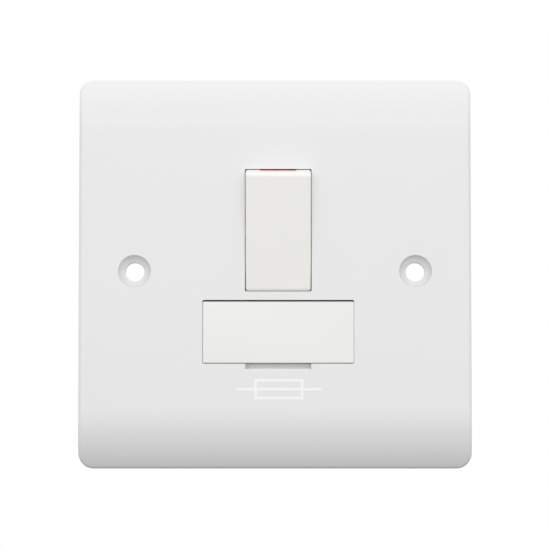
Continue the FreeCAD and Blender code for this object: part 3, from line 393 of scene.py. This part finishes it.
# Spring steel wire, drawn: a cool grey with a thin bright line along each turn.
spring_steel = worked_metal("spring_steel", "#B9BABD", "#A6A7AA", 0.28, (0.1, 0.0004), EVEN)
# Steel screws in bright zinc: silvery, a bit uneven from the plating barrel.
zinc = worked_metal("bright_zinc_plating", "#C9C9C4", "#B7B6AE", 0.27, (0.15, 0.0008), EVEN)
# Tinned copper wire, drawn: a soft white metal, thin enough to look like one line.
tinned_wire = worked_metal("tinned_copper_wire", "#D5D1C9", "#C8C3B9", 0.25, (0.1, 0.0003), EVEN)
# Brass wire, headed into rivets: smooth on the dome, so it looks yellower than the strip.
rivet_brass = worked_metal("headed_brass_wire", "#D9B872", "#CBA75F", 0.26, (0.15, 0.0006), EVEN)

# %% [markdown]
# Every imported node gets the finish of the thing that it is. Most can be told from the end of
# their name, because the same part appears on the line and on the neutral side, so one list of
# endings does for both, and the few single pieces are named in full.

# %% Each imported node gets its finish
FINISHES = {
    "front_plate": urea,
    "switch_rocker": key_plastic_painted_lighter,
    "fuse_carrier": polycarbonate,
    "rear_housing": housing_plastic,
    "_plunger": nylon,
    "_plunger_spring": spring_steel,
    "_contact_bar": copper,
    "_moving_tip": silver,
    "fixed_contact_tips": silver,
    "_fulcrum": strip_brass,
    "_contact": strip_brass,
    "load_line_strip": strip_brass,
    "_terminal": bar_brass,
    "terminal_screws": zinc,
    "housing_screws": zinc,
    "fuse_tube": fuse_ceramic,
    "fuse_cap_left": nickel,
    "fuse_cap_right": nickel,
    "fuse_element": tinned_wire,
    "_clip": bronze,
    "clip_rivets": rivet_brass,
}
for name in nodes:
    ending = max((end for end in FINISHES if name.endswith(end)), key=len)
    mesh = nodes[name].data
    for index in range(len(mesh.materials)):
        mesh.materials[index] = FINISHES[ending]
print("finishes given to", len(nodes), "nodes")

# %% [markdown]
# A solid from CAD has razor edges, and no moulding has: polishing the mould takes them off. A
# copy of the solid keeps the exact place of everything that the mechanism needs, so the copy is
# merged, its loose triangles are joined, and a bevel of 0.06 to 0.1 mm rounds what is still
# sharp. That thin rounding is what catches the light round every opening.

# %% Copying and finishing helpers
JOIN = 0.0002 * MM
FLAT_ANGLE = math.radians(0.2)
EDGE_ANGLE = math.radians(38)
ROUNDING_STEPS = 2
BROAD_FACES_FIRST = 100


def only(piece):
    """Selects one object and nothing else."""
    bpy.ops.object.select_all(action="DESELECT")
    piece.select_set(True)
    bpy.context.view_layer.objects.active = piece


def finer_copy(node_name, piece_name):
    """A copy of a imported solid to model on, with its loose triangles joined into faces."""
    piece = bpy.data.objects.new(piece_name, nodes[node_name].data.copy())
    bpy.context.scene.collection.objects.link(piece)
    only(piece)
    bpy.ops.object.mode_set(mode="EDIT")
    bpy.ops.mesh.select_all(action="SELECT")
    bpy.ops.mesh.customdata_custom_splitnormals_clear()
    bpy.ops.mesh.remove_doubles(threshold=JOIN)
    bpy.ops.mesh.dissolve_limited(angle_limit=FLAT_ANGLE)
    bpy.ops.object.mode_set(mode="OBJECT")
    return piece


def soften(piece, edge_mm):
    """Rounds the sharp edges by a bevel and lets the broad faces keep their own shading."""
    only(piece)
    round_off = piece.modifiers.new("edge", "BEVEL")
    round_off.width = edge_mm * MM
    round_off.segments = ROUNDING_STEPS
    round_off.limit_method = "ANGLE"
    round_off.angle_limit = EDGE_ANGLE
    round_off.use_clamp_overlap = False
    round_off.miter_outer = "MITER_ARC"
    # With this on, a corner of the plate's face slides 0.4 mm along an edge left across it, and
    # a thin dark wedge shows there.
    round_off.loop_slide = False
    bpy.ops.object.modifier_apply(modifier="edge")
    bpy.ops.object.shade_smooth()
    shading = piece.modifiers.new("shading", "WEIGHTED_NORMAL")
    shading.keep_sharp = True
    shading.weight = BROAD_FACES_FIRST
    bpy.ops.object.modifier_apply(modifier="shading")
    print(piece.name, len(piece.data.polygons), "faces")


def dress(piece, material):
    """Gives a piece one material."""
    piece.data.materials.clear()
    piece.data.materials.append(material)


# %% [markdown]
# The front plate shows most. Two places on it came out darker than in the photograph: the
# pocket for a screwdriver under the drawer, where the dark inside showed over its back wall,
# and the line over the key. So the wall is leaned forward and up, and the lip over the key is
# drawn in. The amounts were found by rendering and comparing, not measured on a real unit. The
# corners of the copy are picked by their place and moved before the edges are rounded.

# %% Picking corners
NEAR = 0.01


def pick(piece, wanted):
    """Opens a piece in edit mode with the corners selected whose place in millimetres passes."""
    only(piece)
    bpy.ops.object.mode_set(mode="EDIT")
    bpy.ops.mesh.select_mode(type="VERT")
    bpy.ops.mesh.select_all(action="DESELECT")
    bpy.ops.object.mode_set(mode="OBJECT")
    for corner in piece.data.vertices:
        corner.select = wanted(*(corner.co / MM))
    print("corners picked:", sum(corner.select for corner in piece.data.vertices))
    bpy.ops.object.mode_set(mode="EDIT")


# %% Front plate
PLATE_FRONT = -8.5
POCKET_BACK = -6.5
POCKET_TOP = -20.105
POCKET_RISE = 0.3
POCKET_LEAN = -0.5
LIP_START = 21.84
LIP_END = 22.19
LIP_SCALE = 0.6
LIP_CENTRE = (0.7 * MM, PLATE_FRONT * MM, LIP_START * MM)
PLATE_EDGE_MM = 0.07


def at_pocket_top(x, y, z):
    """True at the upper corners of the pocket's back wall."""
    return abs(y - POCKET_BACK) < NEAR and abs(z - POCKET_TOP) < NEAR


def on_switch_lip(x, y, z):
    """True along the upper edge of the switch opening, on the plate's face."""
    return abs(y - PLATE_FRONT) < NEAR and LIP_START - NEAR < z < LIP_END + NEAR


plate = finer_copy("front_plate", "moulded_plate")
pick(plate, at_pocket_top)
bpy.ops.transform.translate(value=(0.0, POCKET_LEAN * MM, POCKET_RISE * MM))
bpy.ops.object.mode_set(mode="OBJECT")
pick(plate, on_switch_lip)
bpy.ops.transform.resize(value=(1.0, 1.0, LIP_SCALE), center_override=LIP_CENTRE)
bpy.ops.object.mode_set(mode="OBJECT")
soften(plate, PLATE_EDGE_MM)
dress(plate, urea)
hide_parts("front_plate")
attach(plate, "unit")

# %% [markdown]
# The rocker is made the same way, with its edges a little rounder, because a finger finds them.
# The drawer is a copy too, but it gets no bevel: it keeps the fine rounding that its solid
# already has round the face. The lines beside it are fainter in the photograph than this
# solid's gaps make them, the right one most, so each side of the copy's face moves out by a few
# hundredths of a millimetre. Those two amounts were found by comparing renders too.

# %% Switch rocker
ROCKER_EDGE_MM = 0.1

rocker = finer_copy("switch_rocker", "moulded_rocker")
soften(rocker, ROCKER_EDGE_MM)
dress(rocker, key_plastic_painted_lighter)
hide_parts("switch_rocker")
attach(rocker, "rocker")

# %% Fuse drawer
FACE_BACK = -6.1
LEFT_SIDE = -15.0
RIGHT_SIDE = 16.4
LEFT_GROWTH = 0.04
RIGHT_GROWTH = 0.07


def on_left_side(x, y, z):
    """True at the rounded left side of the drawer's face."""
    return x < LEFT_SIDE and y < FACE_BACK + NEAR


def on_right_side(x, y, z):
    """True at the rounded right side of the drawer's face."""
    return x > RIGHT_SIDE and y < FACE_BACK + NEAR


drawer = finer_copy("fuse_carrier", "moulded_fuse_drawer")
pick(drawer, on_left_side)
bpy.ops.transform.translate(value=(-LEFT_GROWTH * MM, 0.0, 0.0))
bpy.ops.object.mode_set(mode="OBJECT")
pick(drawer, on_right_side)
bpy.ops.transform.translate(value=(RIGHT_GROWTH * MM, 0.0, 0.0))
bpy.ops.object.mode_set(mode="OBJECT")
bpy.ops.object.shade_smooth_by_angle(angle=EDGE_ANGLE)
dress(drawer, polycarbonate)
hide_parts("fuse_carrier")
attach(drawer, "carrier")
print(drawer.name, len(drawer.data.polygons), "faces")

# %% [markdown]
# When the switch is on, the upper end of the key stands proud, and a red band on that end
# shows from above. The photograph has only a trace of red there, so the paint ends well before
# the recess does, at an angle that was found by comparing renders. The band is paint in a
# shallow curved recess, so it is one thin strip, spun about the key's own axis: a rectangle is
# placed at the back of the recess and swept forward along the curve. The spin turns against the
# right-hand rule, so its axis points to the left.

# %% Red band
PIVOT = mathutils.Vector((0.7, -6.0, 8.94)) * MM
RECESS_RADIUS = 13.07 * MM
PAINT_THICKNESS = 0.08 * MM
BAND_WIDTH = 7.6 * MM
BAND_BACK = math.radians(2.5)
BAND_FRONT = math.radians(12)
BAND_STEPS = 12

outward = mathutils.Vector((0.0, -math.sin(BAND_BACK), math.cos(BAND_BACK)))
bpy.ops.object.select_all(action="DESELECT")
bpy.ops.mesh.primitive_plane_add(
    size=1,
    location=PIVOT + outward * (RECESS_RADIUS + PAINT_THICKNESS / 2),
    rotation=(math.radians(90) + BAND_BACK, 0, 0),
)
band = bpy.context.object
band.name = "red_band"
band.scale = (BAND_WIDTH, PAINT_THICKNESS, 1)
bpy.ops.object.transform_apply()
bpy.ops.object.mode_set(mode="EDIT")
bpy.ops.mesh.select_all(action="SELECT")
bpy.ops.mesh.spin(steps=BAND_STEPS, angle=BAND_FRONT - BAND_BACK, center=PIVOT, axis=(-1, 0, 0))
bpy.ops.mesh.select_all(action="SELECT")
bpy.ops.mesh.remove_doubles(threshold=JOIN)
bpy.ops.mesh.normals_make_consistent(inside=False)
bpy.ops.object.mode_set(mode="OBJECT")
bpy.ops.object.shade_smooth_by_angle(angle=EDGE_ANGLE)
dress(band, red_paint)
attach(band, "rocker")
foremost = min(corner.co.y for corner in band.data.vertices) / MM
highest = max(corner.co.z for corner in band.data.vertices) / MM
print("red band reaches y", round(foremost, 2), "and z", round(highest, 2), "mm")

# %% [markdown]
# Under the drawer is the plain drawing sign for a fuse: a box with a line straight through it.
# It is pad-printed, so it is a layer of white ink a few hundredths of a millimetre thick, and
# white on white it only just shows. The box is a flat patch with its middle inset and taken
# out; the line is three bars that end where the box's own lines begin.

# %% Printed fuse sign
INK = 0.03 * MM
STROKE = 0.62 * MM
SIGN_X = 0.8 * MM
SIGN_Z = -25.3 * MM
SIGN_REACH = 18.2 * MM
BOX_WIDTH = 10.6 * MM
BOX_HEIGHT = 4.4 * MM


def ink_patch(width, height, across):
    """A flat patch of ink on the plate's face, centred on the sign's line."""
    bpy.ops.object.select_all(action="DESELECT")
    bpy.ops.mesh.primitive_plane_add(
        size=1, location=(across, PLATE_FRONT * MM, SIGN_Z), rotation=(math.radians(90), 0, 0)
    )
    patch = bpy.context.object
    patch.scale = (width, height, 1)
    bpy.ops.object.transform_apply()
    return patch


sign = ink_patch(BOX_WIDTH, BOX_HEIGHT, SIGN_X)
sign.name = "fuse_sign"
bpy.ops.object.mode_set(mode="EDIT")
bpy.ops.mesh.select_all(action="SELECT")
bpy.ops.mesh.inset(thickness=STROKE, depth=0.0)
bpy.ops.mesh.delete(type="FACE")
bpy.ops.object.mode_set(mode="OBJECT")
lead = (SIGN_REACH - BOX_WIDTH) / 2
lead_centre = (BOX_WIDTH + lead) / 2
bars = [
    ink_patch(lead, STROKE, SIGN_X - lead_centre),
    ink_patch(lead, STROKE, SIGN_X + lead_centre),
    ink_patch(BOX_WIDTH - 2 * STROKE, STROKE, SIGN_X),
]
only(sign)
for bar in bars:
    bar.select_set(True)
bpy.ops.object.join()
bpy.ops.object.mode_set(mode="EDIT")
bpy.ops.mesh.select_all(action="SELECT")
bpy.ops.mesh.extrude_region_move(TRANSFORM_OT_translate={"value": (0, -INK, 0)})
bpy.ops.mesh.select_all(action="SELECT")
bpy.ops.mesh.normals_make_consistent(inside=False)
bpy.ops.object.mode_set(mode="OBJECT")
dress(sign, white_ink)
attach(sign, "unit")
print("fuse sign", len(sign.data.polygons), "faces,", round(SIGN_REACH / MM, 1), "mm wide")

# %% [markdown]
# At the back the screws are what the eye goes to. A headed screw has no sharp corner, because
# its head is pressed and then tumbled, so the copies get a bevel like the mouldings' one.

# %% Screws
SCREW_EDGE_MM = 0.06

for group, piece_name in (("terminal_screws", "clamp_screws"), ("housing_screws", "cover_screws")):
    screws = finer_copy(group, piece_name)
    soften(screws, SCREW_EDGE_MM)
    dress(screws, zinc)
    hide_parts(group)
    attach(screws, "unit")

# %% [markdown]
# Each plunger is pushed by a coil of steel wire. The copy of each coil is shaded smooth, given spring
# steel and hung from the rocker's body.

# %% Plunger springs
COIL_ANGLE = math.radians(60)

for side in ("line", "neutral"):
    coil = finer_copy(f"{side}_plunger_spring", f"{side}_coil")
    bpy.ops.object.shade_smooth_by_angle(angle=COIL_ANGLE)
    dress(coil, spring_steel)
    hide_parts(f"{side}_plunger_spring")
    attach(coil, "rocker")
    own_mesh(coil)
